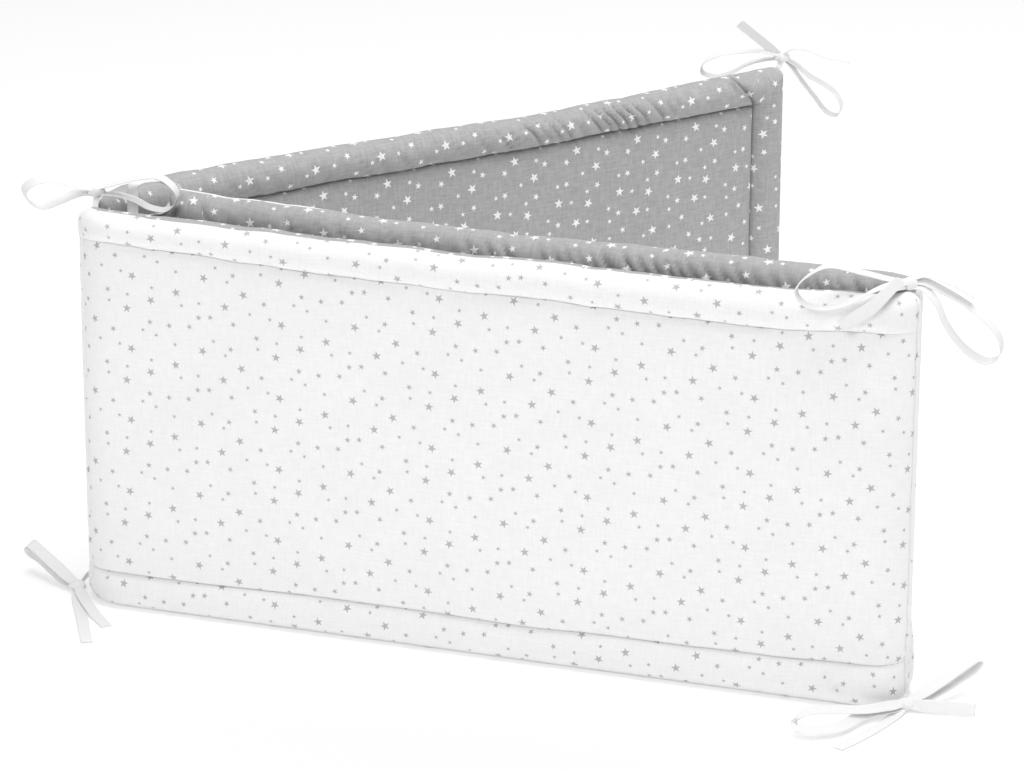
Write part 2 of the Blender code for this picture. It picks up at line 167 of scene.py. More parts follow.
# Drag folds that run into the folds' seams: the seam's number, the way that they lie from it along the
# strip, height at the seam, length, rise over that length, half width and depth.
DRAGS = (
    (1, -1, 0.148, 0.06, -0.012, 0.0035, 0.001), (1, -1, 0.132, 0.05, -0.01, 0.0035, 0.0008),
    (1, -1, 0.07, 0.034, -0.016, 0.0028, 0.0012), (1, -1, 0.06, 0.04, -0.019, 0.0028, 0.0014),
    (1, -1, 0.049, 0.044, -0.02, 0.0028, 0.0015), (1, -1, 0.039, 0.04, -0.019, 0.0028, 0.0014),
    (1, -1, 0.03, 0.032, -0.015, 0.0026, 0.001), (1, -1, 0.205, 0.04, 0.006, 0.0035, 0.0007),
    (1, -1, 0.238, 0.035, 0.01, 0.003, 0.001), (0, 1, 0.222, 0.04, 0.008, 0.0035, 0.0006),
    (0, 1, 0.12, 0.04, -0.006, 0.0035, 0.0005), (0, 1, 0.052, 0.034, -0.01, 0.003, 0.0007),
    (0, -1, 0.2, 0.04, 0.01, 0.0035, 0.0008), (0, -1, 0.09, 0.045, -0.01, 0.0035, 0.0008),
    (1, 1, 0.19, 0.045, 0.01, 0.0035, 0.0008), (1, 1, 0.08, 0.045, -0.012, 0.0035, 0.0008),
)
DRAG_WAVER = 0.0015  # how far a drag fold wavers up and down
DRAG_START = 0.12  # share of its length over which it deepens off the seam

# A field's soft unevenness, reached RELIEF_REACH inside it: height, slant, length and seed.
BROAD_RELIEF, FINER_RELIEF = (0.0007, 0.6, 0.055, 60), (0.0004, -0.9, 0.028, 64)
RELIEF_REACH = 0.03
DARK_FROM, DARK_RANGE = 0.0003, 0.0015  # painted shade: a crease is darkened from this depth on, over this range


# Curves and noise


def eased(start, end, share):
    """From start to end as share goes from 0 to 1, smooth at both."""
    ease = share * share * (3 - 2 * share)
    return start * (1 - ease) + end * ease


def between(table, place, column):
    """A column of a table, read on a smooth curve between its rows."""
    places = np.array([row[0] for row in table])
    values = np.array([row[column] for row in table])
    place = np.clip(place, places[0], places[-1])
    index = np.clip(np.searchsorted(places, place, side="right") - 1, 0, len(places) - 2)
    share = (place - places[index]) / (places[index + 1] - places[index])
    return eased(values[index], values[index + 1], share)


def round_profile(distance, width):
    """0 at a seam, rising as a quarter ellipse to 1 at width from it."""
    left = 1 - np.clip(distance / width, 0.0, 1.0)
    return np.sqrt(1 - left * left)


def bell(off, half_width):
    """1 where off is 0, falling smoothly to 0 either side."""
    return np.exp(-((off / half_width) ** 2))


WAVE_KNOTS = 4096


def waves(place, length, seed):
    """Smooth noise between -1 and 1, about one wave for each length."""
    knots = np.random.default_rng(seed).uniform(-1, 1, WAVE_KNOTS)
    at = place / length + 1000.0
    index = np.floor(at).astype(int)
    return eased(knots[index % WAVE_KNOTS], knots[(index + 1) % WAVE_KNOTS], at - index)


def varied(mean, place, length, seed):
    """Smooth noise about a mean, up to 1."""
    return mean + (1 - mean) * waves(place, length, seed)


# The strip in plan


class Walk:
    """The strip's centre line in plan."""

    def __init__(self):
        heading = radians(START_HEADING)
        along, headings, marks = [0.0], [heading], [0.0]
        for _, length, turn in WALK:
            count = round(length / WALK_STEP)
            for i in range(1, count + 1):
                along.append(marks[-1] + length * i / count)
                headings.append(heading + radians(turn) * i / count)
            heading += radians(turn)
            marks.append(marks[-1] + length)
        self.along = np.array(along)
        self.headings = np.array(headings)
        middle = (self.headings[1:] + self.headings[:-1]) / 2
        runs = np.diff(self.along)
        self.x = np.concatenate([[0], np.cumsum(runs * np.cos(middle))])
        self.y = np.concatenate([[0], np.cumsum(runs * np.sin(middle))])
        self.length = marks[-1]
        self.seams = [marks[i + 1] for i in SEAMS_AFTER]
        self.x += FRONT_LEFT_X - np.interp(marks[FRONT_LEFT], self.along, self.x)
        self.y -= np.interp(marks[FRONT_LEFT], self.along, self.y)

    def at(self, along):
        """The points in plan, and the unit vectors towards the outer cloth."""
        heading = np.interp(along, self.along, self.headings)
        x, y = np.interp(along, self.along, self.x), np.interp(along, self.along, self.y)
        return x, y, np.sin(heading), -np.cos(heading)

    def from_seam(self, along):
        """How far along the strip each place is from the nearer fold's seam."""
        return np.min([np.abs(along - seam) for seam in self.seams], axis=0)

    def from_end(self, along):
        """How far along the strip each place is from the nearer free end."""
        return np.minimum(along, self.length - along)

    def in_front(self, along):
        """Whether each place is on the front panel."""
        return (along > self.seams[0]) & (along < self.seams[1])

    def fold_lines(self):
        """The places of the second lines of stitches beside the folds' seams."""
        return [self.seams[seam] + offset for seam, offset in FOLD_LINES]


walk = Walk()

# The grid of points over a side of the pad

FIRST_STEP = 0.0006  # next to a stitch line or a seam
STEP_GROWTH = 1.4
LARGEST_COLUMN = 0.0036
FINEST_COLUMN = 0.0008
LARGEST_ROW = 0.009
LOW_ROWS, HIGH_ROWS = 10, 20  # of the bottom channel and of the top one

# The stretches where the inner cloth puckers most, and where a crease crosses its corner, as shares of the
# strip.
PUCKERED = ((0.015, 0.135), (0.6899, 0.880), (0.015, 0.032))


def graded(length, largest):
    """Places from 0 to a length, in steps that grow from FIRST_STEP at its ends to about largest."""
    half, step = [0.0], FIRST_STEP
    while half[-1] + step < length / 2:
        half.append(half[-1] + step)
        step = min(step * STEP_GROWTH, largest)
    half = np.array(half) * (length / 2 / (half[-1] + step / 2))
    return np.concatenate([half, [length / 2], (length - half)[::-1]])


FIELD_ROWS = graded(PAD_HEIGHT - 2 * CHANNEL, LARGEST_ROW) / (PAD_HEIGHT - 2 * CHANNEL)


def columns():
    """Places of the columns of points, closer together at stitches and seams."""
    ends = [0.0, CHANNEL, walk.length - CHANNEL, walk.length]
    stops = sorted([*ends, *walk.seams, *walk.fold_lines()])
    places = [0.0]
    for start, end in zip(stops, stops[1:]):
        places += [start + at for at in graded(end - start, LARGEST_COLUMN)[1:]]
    places = np.array(places)
    for low, high in PUCKERED:
        middles = (places[1:] + places[:-1]) / 2
        split = (np.diff(places) > FINEST_COLUMN * 2)
        split &= (middles > low * walk.length) & (middles < high * walk.length)
        places = np.sort(np.concatenate([places, middles[split]]))
    return places


def seam_profile(along):
    """0 at a fold's seam, rising to 1 where the pad is full again."""
    rise = np.where(walk.in_front(along), FRONT_SEAM_RISE, SEAM_RISE)
    return round_profile(walk.from_seam(along), rise)


def small_waves(along, rows):
    """The sum of a table's waves."""
    return sum(height * waves(along, length, seed) for height, length, seed in rows)


def edge_heights(along):
    """The bottom edge, the two stitch lines and the top edge at each place."""
    share = along / walk.length
    top = PAD_HEIGHT - between(EDGES, share, 1) + small_waves(along, TOP_WAVES)
    low_stitch = between(EDGES, share, 3) + small_waves(along, LOW_STITCH_WAVES)
    high_stitch = top - between(EDGES, share, 2) + small_waves(along, HIGH_STITCH_WAVES)
    drawn = 1 - seam_profile(along)
    corner = CORNER_RADIUS * (1 - round_profile(walk.from_end(along), CORNER_RADIUS))
    return SEAM_BOTTOM_RISE * drawn + corner, low_stitch, high_stitch, top - SEAM_TOP_DROP * drawn - corner


def row_heights(along, side):
    """Heights of a side's rows of points, from the bottom edge to where the two cloths meet at the top.

    With them comes 1 for each point on its own side of the crest, and -1 for each past it.
    """
    bottom, low_stitch, high_stitch, top = edge_heights(along)
    low_turn, high_turn = (np.linspace(0, 1, rows + 1)[:, None] for rows in (LOW_ROWS, HIGH_ROWS))
    low = bottom + (low_stitch - bottom) * (1 - np.cos(pi * low_turn)) / 2
    field = low_stitch + (high_stitch - low_stitch) * FIELD_ROWS[1:-1, None]
    meeting = between(TOP_SEAM, along / walk.length, 1) * (1 if side == "outer" else -1)
    from_crest = meeting + (1 - meeting) * (1 - high_turn)
    high = top - (top - high_stitch) * (1 - np.cos(pi * from_crest)) / 2
    over = np.concatenate([np.ones_like(low), np.ones_like(field), np.sign(from_crest + 1e-9)])
    return np.concatenate([low, field, high]), over


# The pad's thickness


def inside_field(along, z):
    """How far inside a field each point lies, below zero in the channels."""
    _, low_stitch, high_stitch, _ = edge_heights(along)
    return np.minimum(np.minimum(z - low_stitch, high_stitch - z), walk.from_end(along) - CHANNEL)


def across_channel(along, z):
    """How far across a channel each point is: 0 at the pad's edge, 1 at the stitches, more in the field."""
    bottom, low_stitch, high_stitch, top = edge_heights(along)
    down, up = (z - bottom) / (low_stitch - bottom), (top - z) / (top - high_stitch)
    return np.clip(np.minimum(np.minimum(down, up), walk.from_end(along) / CHANNEL + 0 * z), 0.0, None)


def channel_half(across, side):
    """Half a channel's thickness, round from the pad's edge to its stitches."""
    rest = np.where(across > 0.5, STITCH_HALF[side], 0.0)
    return rest + (CHANNEL_HALF - rest) * np.sqrt(np.clip(1 - (2 * across - 1) ** 2, 0, 1))


def field_half(along, z, side):
    """Half a field's thickness, which swells fast off its stitches and then slowly."""
    inside = inside_field(along, z)
    lip, crown = round_profile(inside, FIELD_LIP), round_profile(inside, FIELD_RISE)
    grown = FIELD_LIP_SHARE * lip + (1 - FIELD_LIP_SHARE) * crown
    swell = 1 + sum(share * np.sin(along * a + z * up + phase) for share, a, up, phase in FIELD_SWELLS)
    return STITCH_HALF[side] + (FIELD_HALF * swell - STITCH_HALF[side]) * grown


def pad_half(along, z, side):
    """Half the pad's thickness at each point of a side."""
    bottom, _, _, top = edge_heights(along)
    edge = np.minimum(z - bottom, top - z)
    across = across_channel(along, z)
    half = np.where(across < 1, channel_half(across, side), field_half(along, z, side))
    half = half + cloth_relief(along, z, side)
    seam = walk.from_seam(along)
    level = FOLD_HALF * round_profile(edge, FOLD_EDGE_ROUND)
    half = half + (level - half) * (1 - np.clip(seam / FOLD_EVEN_REACH, 0, 1) ** 2) * FOLD_EVEN_SHARE
    relief = fold_wrinkles(along, z) - FOLD_LINE_DEPTH * on_fold_line(along)
    half = half + relief * np.clip(edge / FOLD_RELIEF_FADE, 0, 1)
    past_right = along - walk.seams[1]
    fuller = between(FULLER, z, 1) * np.clip(1 - past_right / FULLER_REACH, 0, 1) * (past_right > 0)
    full = np.where(walk.in_front(along), 1.0, between(HINGE, seam, 1) + fuller) * seam_profile(along)
    lowest = np.where(edge > SEAM_CAP, SEAM_HALF, 0.0)
    half = lowest + (half - lowest) * full
    return np.maximum(half, np.where((walk.from_end(along) < 1e-6) | (edge > 1e-5), END_HALF, 0.0))


# Puckers, creases and wrinkles


def pucker_count():
    """How many puckers lie before each of many even places along the strip."""
    places = np.linspace(-0.1, walk.length + 0.1, 4001)
    pitch = between(PUCKERS, places / walk.length, 4)
    return places, np.cumsum(1 / pitch) * (places[1] - places[0])


PUCKER_COUNT = pucker_count()


def creases(place, seed):
    """Folds of uneven width and depth along a line: sharp valleys about 1 deep, round ridges between."""
    count = np.interp(place, *PUCKER_COUNT) + 0.5 * waves(place, FOLD_PITCH_NOISE, seed)
    valley = 1 - np.abs(np.sin(pi * count))
    return (0.35 - valley**1.4) * varied(0.7, place, FOLD_DEPTH_NOISE, seed + 7)


def puckers(along, z, side):
    """The puckers that lean off the stitch lines, and the crease across the corner."""
    _, low_stitch, high_stitch, top = edge_heights(along)
    relief = 0 * z
    for line, stitch, way in (("top", high_stitch, 1.0), ("bottom", low_stitch, -1.0)):
        seed = 10 + 2 * (side == "outer") + (line == "top")
        depth = between(PUCKERS, along / walk.length, 1 if side == "outer" else 2 if line == "top" else 3)
        off = (z - stitch) * way  # above zero in the channel, below zero in the field
        in_channel = np.exp(-((off / CHANNEL_PUCKER) ** 6))
        reach = np.where(off > 0, in_channel, FIELD_PUCKER_SHARE * bell(off, FIELD_PUCKER))
        reach = reach * (1 - np.exp(-np.abs(off) / PUCKER_START))
        # They waver as they run, come in uneven bunches, and have finer ones between them.
        place = along + PUCKER_LEAN[side] * off * way + PUCKER_WAVER * waves(z, WAVER_LENGTH, seed + 40)
        bunched = varied(0.75, along, BUNCH_LENGTH, seed + 30)
        folds = creases(place, seed) + FINE_SHARE * waves(place, FINE_PITCH, seed + 20)
        relief = relief + depth * bunched * reach * folds
    return (relief + corner_crease(along, z, side)) * np.clip((top - z) / PUCKER_CAP, 0, 1)


def up_channel(along, z):
    """How far up the top channel each point lies, 0 at its stitches and 1 at the edge."""
    _, _, high_stitch, top = edge_heights(along)
    return np.clip((z - high_stitch) / (top - high_stitch), 0, 1)


def corner_crease(along, z, side):
    """The crease across the top channel by the rear panel's free end, with its lip."""
    rise = up_channel(along, z)
    off = along - (CREASE_FOOT + (CREASE_TOP - CREASE_FOOT) * rise)
    there = np.clip(rise / 0.1, 0, 1) * (side == "inner")
    return there * CREASE_DEPTH * (0.5 * bell(off - LIP_AWAY, LIP_HALF) - bell(off, CREASE_HALF))


def cloth_relief(along, z, side):
    """The puckers, and the field's soft unevenness."""
    broad, finer = (
        height * waves(along + slant * z, length, seed + (side == "outer"))
        for height, slant, length, seed in (BROAD_RELIEF, FINER_RELIEF)
    )
    uneven = broad * varied(0.6, z, 0.04, 62) + finer
    return puckers(along, z, side) + np.clip(inside_field(along, z) / RELIEF_REACH, 0, 1) * uneven


def fold_wrinkles(along, z):
    """The troughs of the drag folds, each with a ridge above it."""
    made = 0 * z
    for seam, way, height, length, rise, half_width, depth in DRAGS:
        run = (along - walk.seams[seam]) * way / length
        line = height + rise * run + DRAG_WAVER * np.sin(run * 4 + height * 90)
        there = np.clip(run / DRAG_START, 0, 1) * np.clip(1 - run, 0, 1)
        made = made - depth * there * bell(z - line, half_width)
        made = made + 0.5 * depth * there * bell(z - line - 2.2 * half_width, half_width)
    return made


def on_fold_line(along):
    """1 on the second lines of stitches beside the folds' seams, falling to 0 either side of them."""
    return sum(np.exp(-np.abs(along - line) / FOLD_LINE_HALF) for line in walk.fold_lines())


def painted_crease_shade(along, z, side):
    """How much painted shade each point gets, 0 to 1: more the deeper it lies in a crease, and more on the
    lines of stitches beside the folds' seams.
    """
    deep = (-puckers(along, z, side) - DARK_FROM) / DARK_RANGE
    return np.clip(deep + 0.6 * on_fold_line(along) ** 1.5, 0, 1)


def surface(along, z, side, over=1.0, lift=0.0):
    """Points of a side of the pad, in the fold's frame."""
    x, y, out_x, out_y = walk.at(along)
    half = (pad_half(along, z, side) * over + lift) * (1.0 if side == "outer" else -1.0)
    rise = up_channel(along, z)
    sunk = FOOT_SINK + ROLL_SAG * np.sqrt(np.sin(pi * rise)) * np.clip(1 - rise, 0, 1)
    z = np.maximum(z - sunk + puckers(along, z, side) * np.clip(2 * rise - 1, 0, 1), 0.0)
    return np.stack([x + out_x * half, y + out_y * half, z + 0 * half], axis=-1)


# Meshes from arrays


def linked(name, data):
    """A new object in the scene."""
    thing = bpy.data.objects.new(name, data)
    bpy.context.scene.collection.objects.link(thing)
    return thing


def object_from(name, points, faces, materials, corner_uv=None, slots=None, smooth=True):
    """A mesh object from arrays, with a place on the cloth for each corner of each face."""
    mesh = bpy.data.meshes.new(name)
    faces = np.asarray(faces, dtype=np.int32)
    mesh.vertices.add(len(points))
    mesh.vertices.foreach_set("co", np.asarray(points, dtype=np.float32).ravel())
    mesh.loops.add(faces.size)
    mesh.loops.foreach_set("vertex_index", faces.ravel())
    mesh.polygons.add(len(faces))
    mesh.polygons.foreach_set("loop_start", np.arange(0, faces.size, faces.shape[1], dtype=np.int32))
    if slots is not None:
        mesh.polygons.foreach_set("material_index", np.asarray(slots, dtype=np.int32))
    mesh.polygons.foreach_set("use_smooth", np.full(len(faces), smooth))
    if corner_uv is not None:
        layer = mesh.uv_layers.new(name="cloth")
        layer.data.foreach_set("uv", np.asarray(corner_uv, dtype=np.float32).ravel())
    mesh.update()
    mesh.validate()
    for made in materials:
        mesh.materials.append(made)
    return linked(name, mesh)


def grid_faces(rows, count):
    """Quads over a grid of rows by count points."""
    r, c = np.meshgrid(np.arange(rows - 1), np.arange(count - 1), indexing="ij")
    a = r * count + c
    return np.stack([a, a + 1, a + count + 1, a + count], axis=-1).reshape(-1, 4)


def tube_faces(rings, around, inside_out=False):
    """Quads round a tube of rings of points, and across its two ends."""
    start, j = np.meshgrid(np.arange(rings - 1) * around, np.arange(around), indexing="ij")
    k = (j + 1) % around
    corners = [start + j, start + k, start + around + k, start + around + j]
    if inside_out:
        corners = [corners[0], *corners[:0:-1]]
    sides = np.stack(corners, axis=-1).reshape(-1, 4)
    j = np.arange(1, around // 2)
    low = np.stack([j - 1, j, around - j - 1, around - j], axis=-1)
    high = low + (rings - 1) * around
    ends = (low, high[:, ::-1]) if inside_out else (low[:, ::-1], high)
    return np.concatenate([sides, *ends])


def distances(points):
    """How far each point is along a line of points, or along a grid's columns."""
    steps = np.linalg.norm(np.diff(points, axis=0), axis=-1)
    return np.concatenate([np.zeros_like(steps[:1]), np.cumsum(steps, axis=0)])


def unit(vectors):
    """Rows of vectors, each made 1 long."""
    return vectors / np.linalg.norm(vectors, axis=1)[:, None]


# Camera

CAMERA_AZIMUTH = 19.074  # degrees, as the next two
CAMERA_ELEVATION = 18.998
CAMERA_ROLL = 0.1895
CAMERA_DISTANCE = 2.8132
CAMERA_TARGET = Vector((0.02531, 0.0, 0.19517))
FOCAL_PIXELS, PHOTO_WIDTH = 4212.4, 1024  # pixels
SENSOR_WIDTH = 36  # mm


def add_camera(shift):
    """The photograph's camera, which looks at a point of the fold's frame."""
    azimuth, elevation, roll = (radians(a) for a in (CAMERA_AZIMUTH, CAMERA_ELEVATION, CAMERA_ROLL))
    level = cos(elevation)
    look = Vector((-sin(azimuth) * level, cos(azimuth) * level, -sin(elevation)))
    right = look.cross(Vector((0, 0, 1))).normalized()
    up = right.cross(look)
    across = right * cos(roll) + up * sin(roll)
    above = up * cos(roll) - right * sin(roll)
    data = bpy.data.cameras.new("camera")
    data.sensor_width, data.lens = SENSOR_WIDTH, FOCAL_PIXELS * SENSOR_WIDTH / PHOTO_WIDTH
    data.clip_start, data.clip_end = 0.05, 100
    camera = linked("camera", data)
    axes = Matrix((across, above, -look)).transposed().to_4x4()
    camera.matrix_world = Matrix.Translation(CAMERA_TARGET - look * CAMERA_DISTANCE + shift) @ axes
    bpy.context.scene.camera = camera


# The print

STAR_POINTS = 5
STAR_NOTCH = 0.40  # a star's inner radius as a share of its outer one
LARGE, MIDDLE, SMALL = 0.0035, 0.0024, 0.0018  # outer radii of the print's stars
STAR_MARGIN = 0.0004  # least distance from a star to its cell's sides
PRINT_EDGE = 0.00012  # softness of the print's edge

# One repeat of the print, four cells up to a line: for each cell its star's place across it each way (0 to 1
# of the room that it has), radius and turn (0 to 1 of a fifth of a circle).
PRINT = (
    (0.5, 0.2, LARGE, 0.10), (0.9, 0.6, SMALL, 0.40), (0.2, 0.9, MIDDLE, 0.70), (0.6, 0.5, LARGE, 0.30),
    (0.1, 0.3, SMALL, 0.80), (0.8, 0.1, SMALL, 0.20), (0.4, 0.7, MIDDLE, 0.50), (0.9, 1.0, SMALL, 0.90),
    (0.2, 0.4, LARGE, 0.60), (0.5, 0.0, SMALL, 0.10), (0.9, 0.5, MIDDLE, 0.35), (0.3, 0.9, MIDDLE, 0.75),
    (0.0, 0.6, SMALL, 0.55), (0.8, 0.3, LARGE, 0.05), (0.3, 0.8, SMALL, 0.45), (0.7, 0.1, MIDDLE, 0.85),
    (0.4, 0.9, LARGE, 0.65), (1.0, 0.4, SMALL, 0.25), (0.1, 0.6, MIDDLE, 0.95), (0.8, 0.2, MIDDLE, 0.15),
    (0.5, 1.0, SMALL, 0.50), (0.3, 0.1, LARGE, 0.40), (0.9, 0.8, SMALL, 0.70), (0.2, 0.5, MIDDLE, 0.30),
    (0.6, 0.9, SMALL, 0.60), (0.1, 0.2, MIDDLE, 0.20), (0.9, 0.7, LARGE, 0.80), (0.4, 0.4, SMALL, 0.00),
)
CELLS_UP, CELLS_ALONG = 4, 7

# How far the print repeats up and along each cloth: the ends of two slanted vectors.
OUTER_REPEAT = (0.002, 0.0525), (0.110, -0.0215)
INNER_REPEAT = (0.055, 0.0), (0.022, -0.108)


def cells(up, along):
    """A print's cell vectors from its repeat vectors: up is 4 first - second, and along is 7 second."""
    second = (along[0] / CELLS_ALONG, along[1] / CELLS_ALONG)
    first = ((up[0] + second[0]) / CELLS_UP, (up[1] + second[1]) / CELLS_UP)
    return first, second


class Nodes:
    """Adds shader nodes to a tree and links them."""

    def __init__(self, tree):
        self.tree = tree

    def add(self, kind, inputs=None, **settings):
        node = self.tree.nodes.new(kind)
        for key, value in settings.items():
            setattr(node, key, value)
        for key, value in (inputs or {}).items():
            self.put(node.inputs[key], value)
        return node

    def put(self, socket, value):
        if isinstance(value, bpy.types.NodeSocket):
            self.tree.links.new(value, socket)
        else:
            socket.default_value = value

    def math(self, operation, a, b=0.0):
        return self.add("ShaderNodeMath", {0: a, 1: b}, operation=operation).outputs[0]

    def plus(self, a, b):
        return self.math("ADD", a, b)

    def minus(self, a, b):
        return self.math("SUBTRACT", a, b)

    def times(self, a, b):
        return self.math("MULTIPLY", a, b)

    def vector(self, operation, a, b=(0, 0, 0), output=0):
        return self.add("ShaderNodeVectorMath", {0: a, 1: b}, operation=operation).outputs[output]

    def ranged(self, value, low, high, to_low=0.0, to_high=1.0):
        node = self.add("ShaderNodeMapRange", {0: value, 1: low, 2: high, 3: to_low, 4: to_high})
        return node.outputs[0]

    def mixed(self, share, one, other):
        node = self.add("ShaderNodeMix", data_type="RGBA")
        for name, value in (("Factor", share), ("A", one), ("B", other)):
            self.put(node.inputs[name], value)
        return node.outputs["Result"]


def print_ramp(n, place):
    """The print's chart as a ramp from 0 to 1 along the repeat: its colour and alpha."""
    ramp = n.add("ShaderNodeValToRGB", {"Fac": place})
    stops = ramp.color_ramp
    stops.interpolation = "CONSTANT"
    while len(stops.elements) < len(PRINT):
        stops.elements.new(0.5)
    for number, (first, second, radius, turn) in enumerate(PRINT):
        stops.elements[number].position = number / len(PRINT)
        stops.elements[number].color = (first, second, radius / LARGE, turn)
    return ramp.outputs["Color"], ramp.outputs["Alpha"]


def star_mask(n, place, cell_one, cell_two, size):
    """1 on the print's stars, 0 off them.

    The cloth is laid out in cells, one star in each, and the cells' numbers come again in each repeat.
    """
    area = cell_one[0] * cell_two[1] - cell_one[1] * cell_two[0]
    first = n.vector("DOT_PRODUCT", place, (cell_two[1] / area, -cell_two[0] / area, 0), output=1)
    second = n.vector("DOT_PRODUCT", place, (-cell_one[1] / area, cell_one[0] / area, 0), output=1)
    number = n.plus(n.math("FLOOR", first), n.times(n.math("FLOOR", second), float(CELLS_UP)))
    chart, turn = print_ramp(n, n.math("FRACT", n.math("DIVIDE", n.plus(number, 0.5), float(len(PRINT)))))
    charted = n.add("ShaderNodeSeparateColor", {0: chart})
    radius = n.times(charted.outputs[2], LARGE * size)
    spans = []
    for share, way, against in ((first, 0, cell_two), (second, 1, cell_one)):
        height = abs(area) / hypot(*against)  # of the cell, across its other side
        room = n.math("DIVIDE", n.minus(height / 2 - STAR_MARGIN, radius), height)
        away = n.times(n.minus(charted.outputs[way], 0.5), n.times(room, 2.0))
        spans.append(n.minus(n.minus(n.math("FRACT", share), 0.5), away))
    x, y = (n.plus(n.times(spans[0], cell_one[i]), n.times(spans[1], cell_two[i])) for i in (0, 1))
    wedge = 2 * pi / STAR_POINTS
    bearing = n.plus(n.math("DIVIDE", n.math("ARCTAN2", y, x), wedge), turn)
    off = n.times(n.math("ABSOLUTE", n.minus(bearing, n.math("ROUND", bearing))), wedge)
    reach = n.math("SQRT", n.plus(n.times(x, x), n.times(y, y)))
    notch_x, notch_y = STAR_NOTCH * cos(wedge / 2), STAR_NOTCH * sin(wedge / 2)
    slope = hypot(notch_x - 1, notch_y)
    across, outward = notch_y / slope, (1 - notch_x) / slope
    edge = n.plus(n.times(n.math("COSINE", off), across), n.times(n.math("SINE", off), outward))
    inside = n.minus(n.times(radius, across), n.times(reach, edge))
    return n.ranged(inside, -PRINT_EDGE, PRINT_EDGE)


# Materials

CREASE_SHADE = 0.55  # painted shade: the share of the cloth's colour left deep in a crease, and on the folds' lines of stitches
THREAD = 0.00042  # pitch of the plain weave
THREAD_DEPTH = 0.00005
# Slubs, each across the other: how many to a metre, how many times longer than wide they are, and seed.
FINE_SLUBS = (1800.0, 9.0, 1)
THICK_SLUBS = (620.0, 7.0, 3)


def slubs(n, place, scale, longer, seed):
    """Noise drawn out along the threads both ways."""
    drawn = []
    for number, stretch in ((seed, (scale / longer, scale, 1.0)), (seed + 1, (scale, scale / longer, 1.0))):
        shifted = {"Vector": place, "Scale": stretch, "Location": (number * 3.1, number * 1.7, 0.0)}
        mapped = n.add("ShaderNodeMapping", shifted).outputs[0]
        drawn.append(n.add("ShaderNodeTexNoise", {"Vector": mapped, "Scale": 1.0, "Detail": 2.0}).outputs[0])
    return n.plus(*drawn)


def plain_material(name, settings):
    """A material whose shader has the given settings, and the shader."""
    made = bpy.data.materials.new(name)
    made.use_nodes = True
    shader = made.node_tree.nodes["Principled BSDF"]
    for key, value in settings.items():
        shader.inputs[key].default_value = value
    return made, shader


def cotton(name, roughness):
    """A cotton's material, its shader and nodes, and the place on the cloth."""
    made, shader = plain_material(
        name, {"Roughness": roughness, "Specular IOR Level": 0.25, "Sheen Weight": 0.15}
    )
    n = Nodes(made.node_tree)
    return made, shader, n, n.add("ShaderNodeUVMap", uv_map="cloth").outputs[0]


def weave(n, shader, place, threads, thread_height, colour, shade):
    """Gives a shader its colour, and the heights of a plain weave and its slubs."""
    shaded = n.add("ShaderNodeVectorMath", {0: colour, "Scale": shade}, operation="SCALE")
    n.put(shader.inputs["Base Color"], shaded.outputs[0])
    parts = n.add("ShaderNodeSeparateXYZ", {0: place}).outputs
    warp, weft = (n.math("SINE", n.times(parts[i], pi / THREAD)) for i in (0, 1))
    height = n.plus(n.times(n.times(warp, weft), THREAD_DEPTH), n.times(threads, thread_height))
    bump = n.add("ShaderNodeBump", {"Height": height, "Strength": 0.5, "Distance": 1.0})
    n.put(shader.inputs["Normal"], bump.outputs[0])


def cloth_material(name, ground, star, repeat, mirrored, size, rough):
    """Printed plain-weave cotton."""
    made, shader, n, uv = cotton(name, 0.85)
    place = n.vector("MULTIPLY", uv, (-1.0 if mirrored else 1.0, 1.0, 1.0))
    stars = star_mask(n, place, *cells(*repeat), size)
    threads, thick = slubs(n, place, *FINE_SLUBS), slubs(n, place, *THICK_SLUBS)
    mottle = n.plus(n.ranged(threads, 0.7, 1.3, -0.5, 0.5), n.ranged(thick, 0.75, 1.25, -1.0, 1.0))
    clouds = n.add("ShaderNodeTexNoise", {"Vector": place, "Scale": 24.0, "Detail": 3.0}).outputs[0]
    shade = n.plus(n.times(mottle, rough), n.ranged(clouds, 0.3, 0.7, -0.012, 0.012))
    worn = n.times(stars, n.ranged(threads, 0.75, 1.25, 0.86, 1.0))
    colour = n.mixed(worn, (*ground, 1), (*star, 1))
    # Painted shade: the cloth's colour is darkened in its creases and on the folds' lines of stitches.
    crease = n.add("ShaderNodeAttribute", attribute_name="painted_crease_shade").outputs["Fac"]
    shade = n.times(n.plus(shade, 1.0), n.ranged(crease, 0.0, 1.0, 1.0, CREASE_SHADE))
    weave(n, shader, place, threads, 0.00006, colour, shade)
    return made


def tape_material(name, colour):
    """Woven cotton tape, or thread."""
    made, shader, n, uv = cotton(name, 0.8)
    threads = slubs(n, uv, *FINE_SLUBS)
    weave(n, shader, uv, threads, 0.00005, colour, n.ranged(threads, 0.7, 1.3, 0.96, 1.02))
    return made


WHITE = (0.86, 0.86, 0.862)
GREY = (0.35, 0.35, 0.352)
GREY_PRINT = (0.40, 0.40, 0.40)
WHITE_PRINT = (0.88, 0.88, 0.88)

outer_cloth = cloth_material(
    "white cotton with grey stars", WHITE, GREY_PRINT, OUTER_REPEAT, mirrored=False, size=1.0, rough=0.03
)
inner_cloth = cloth_material(
    "grey cotton with white stars", GREY, WHITE_PRINT, INNER_REPEAT, mirrored=True, size=1.15, rough=0.10
)
tape = tape_material("white cotton tape", (0.83, 0.83, 0.835))
# Painted shade: the threads are real, but they are drawn darker than they are, to stand in for the shade in
# the stitch lines' grooves.
outer_thread_and_groove_shade = tape_material("pale sewing thread with painted groove shade", (0.60, 0.60, 0.60))
inner_thread_and_groove_shade = tape_material("grey sewing thread with painted groove shade", (0.25, 0.25, 0.25))


# The pad


